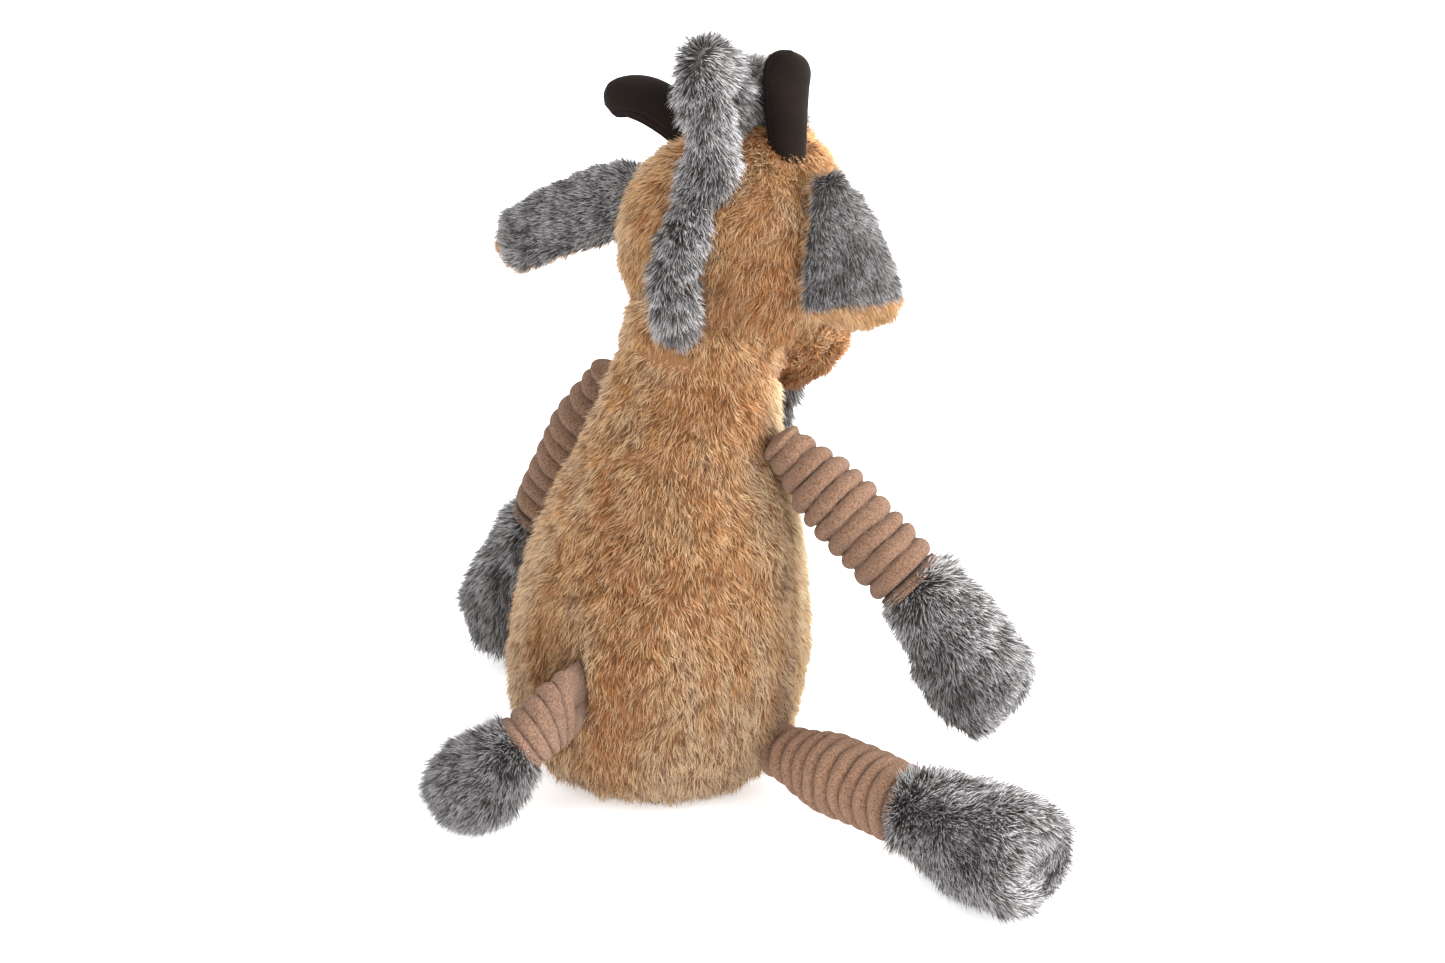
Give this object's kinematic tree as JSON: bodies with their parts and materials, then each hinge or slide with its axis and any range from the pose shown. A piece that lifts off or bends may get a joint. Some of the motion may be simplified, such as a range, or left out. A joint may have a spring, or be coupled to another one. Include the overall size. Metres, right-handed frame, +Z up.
{
  "type": "stuffed plush goat toy",
  "caption": "Seated stuffed plush goat with long-pile crest, horns, drooping ears, corduroy limbs with furry hooves and a tufted tail.",
  "frame": {"origin": "middle of the flat seat that the toy sits on", "axes": "+Z up, -Y is the way the toy faces, -X is the toy's own right side"},
  "size_m": [0.3349, 0.3235, 0.312],
  "materials": {
    "brown_plush": "short pile plush, streaked rust and beige",
    "golden_plush": "short pile plush",
    "muzzle_plush": "short pile plush, darker",
    "grey_long_pile": "long pile plush, dark roots and pale tips",
    "corduroy": "wide-wale corduroy with a soft nap",
    "horn_suede": "soft suede cloth",
    "nose_suede": "soft suede cloth",
    "ear_lining_plush": "short pile plush",
    "fibre_filling": "loose polyester fibre",
    "eye_plastic": "polished",
    "washer_plastic": "moulded"
  },
  "bodies": {
    "torso": {"torso_back_left_panel": "brown_plush", "torso_back_right_panel": "brown_plush", "torso_belly_panel": "golden_plush", "torso_seat_panel": "brown_plush", "torso_stuffing": "fibre_filling"},
    "neck": {"neck_stuffing": "fibre_filling"},
    "head": {"head_left_panel": "brown_plush", "head_right_panel": "brown_plush", "muzzle_cover": "muzzle_plush", "head_stuffing": "fibre_filling", "eye_left": "eye_plastic", "eye_right": "eye_plastic", "eye_washer_left": "washer_plastic", "eye_washer_right": "washer_plastic", "nose_pad": "nose_suede", "beard_tuft": "grey_long_pile", "crest_cover": "grey_long_pile", "crest_stuffing": "fibre_filling", "forelock_tuft": "grey_long_pile", "horn_left_cover": "horn_suede", "horn_left_stuffing": "fibre_filling", "horn_right_cover": "horn_suede", "horn_right_stuffing": "fibre_filling"},
    "ear_left": {"ear_left_outer": "grey_long_pile", "ear_left_lining": "ear_lining_plush"},
    "ear_right": {"ear_right_outer": "grey_long_pile", "ear_right_lining": "ear_lining_plush"},
    "tail": {"tail_sleeve": "corduroy", "tail_stuffing": "fibre_filling"},
    "tail_tuft": {"tail_tuft_cover": "grey_long_pile", "tail_tuft_stuffing": "fibre_filling"},
    "right_arm": {"right_arm_sleeve": "corduroy", "right_arm_stuffing": "fibre_filling"},
    "right_arm_hoof": {"right_arm_hoof_cover": "grey_long_pile", "right_arm_hoof_stuffing": "fibre_filling", "right_arm_hoof_sole": "grey_long_pile"},
    "left_arm": {"left_arm_sleeve": "corduroy", "left_arm_stuffing": "fibre_filling"},
    "left_arm_hoof": {"left_arm_hoof_cover": "grey_long_pile", "left_arm_hoof_stuffing": "fibre_filling", "left_arm_hoof_sole": "grey_long_pile"},
    "right_leg": {"right_leg_sleeve": "corduroy", "right_leg_stuffing": "fibre_filling"},
    "right_leg_hoof": {"right_leg_hoof_cover": "grey_long_pile", "right_leg_hoof_stuffing": "fibre_filling", "right_leg_hoof_sole": "grey_long_pile"},
    "left_leg": {"left_leg_sleeve": "corduroy", "left_leg_stuffing": "fibre_filling"},
    "left_leg_hoof": {"left_leg_hoof_cover": "grey_long_pile", "left_leg_hoof_stuffing": "fibre_filling", "left_leg_hoof_sole": "grey_long_pile"}
  },
  "joints": [
    {"name": "neck_nod", "type": "hinge", "parent": "torso", "child": "neck", "pos_m": [0, -0.0334, 0.1836], "axis": [1, 0, 0], "range_deg": [-8, 8]},
    {"name": "neck_turn", "type": "hinge", "parent": "neck", "child": "head", "pos_m": [0, -0.0334, 0.1836], "axis": [0, -0.5878, 0.809], "range_deg": [-25, 25]},
    {"name": "ear_left_flap", "type": "hinge", "parent": "head", "child": "ear_left", "pos_m": [0.0505, -0.063, 0.2375], "axis": [0.6215, -0.6501, 0.4371], "range_deg": [-10, 35]},
    {"name": "ear_right_flap", "type": "hinge", "parent": "head", "child": "ear_right", "pos_m": [-0.043, -0.057, 0.26], "axis": [0.2598, 0.961, -0.095], "range_deg": [0, 45]},
    {"name": "right_shoulder", "type": "hinge", "parent": "torso", "child": "right_arm", "pos_m": [-0.0555, -0.022, 0.147], "axis": [0, 1, 0], "range_deg": [-4, 30]},
    {"name": "right_wrist", "type": "hinge", "parent": "right_arm", "child": "right_arm_hoof", "pos_m": [-0.11337, -0.02885, 0.09979], "axis": [0, 1, 0], "range_deg": [-8, 25]},
    {"name": "left_shoulder", "type": "hinge", "parent": "torso", "child": "left_arm", "pos_m": [0.058, -0.041, 0.14], "axis": [0, -1, 0], "range_deg": [0, 55]},
    {"name": "left_wrist", "type": "hinge", "parent": "left_arm", "child": "left_arm_hoof", "pos_m": [0.08493, -0.02828, 0.07117], "axis": [0, -1, 0], "range_deg": [0, 25]},
    {"name": "right_hip", "type": "hinge", "parent": "torso", "child": "right_leg", "pos_m": [-0.0735, 0.004, 0.0206], "axis": [0, 0, 1], "range_deg": [-30, 10]},
    {"name": "right_ankle", "type": "hinge", "parent": "right_leg", "child": "right_leg_hoof", "pos_m": [-0.1437, 0.01894, 0.02628], "axis": [0, 0, 1], "range_deg": [-20, 20]},
    {"name": "left_hip", "type": "hinge", "parent": "torso", "child": "left_leg", "pos_m": [0.05, -0.051, 0.0206], "axis": [0, 0, 1], "range_deg": [-12, 22]},
    {"name": "left_ankle", "type": "hinge", "parent": "left_leg", "child": "left_leg_hoof", "pos_m": [0.0727, -0.11909, 0.02635], "axis": [0, 0, 1], "range_deg": [-20, 20]},
    {"name": "tail_swing", "type": "hinge", "parent": "torso", "child": "tail", "pos_m": [0, 0.0698, 0.057], "axis": [0, 0, 1], "range_deg": [-10, 45]},
    {"name": "tail_tuft_bend", "type": "hinge", "parent": "tail", "child": "tail_tuft", "pos_m": [0.01463, 0.09114, 0.03993], "axis": [0, 0, 1], "range_deg": [-15, 15]}
  ]
}
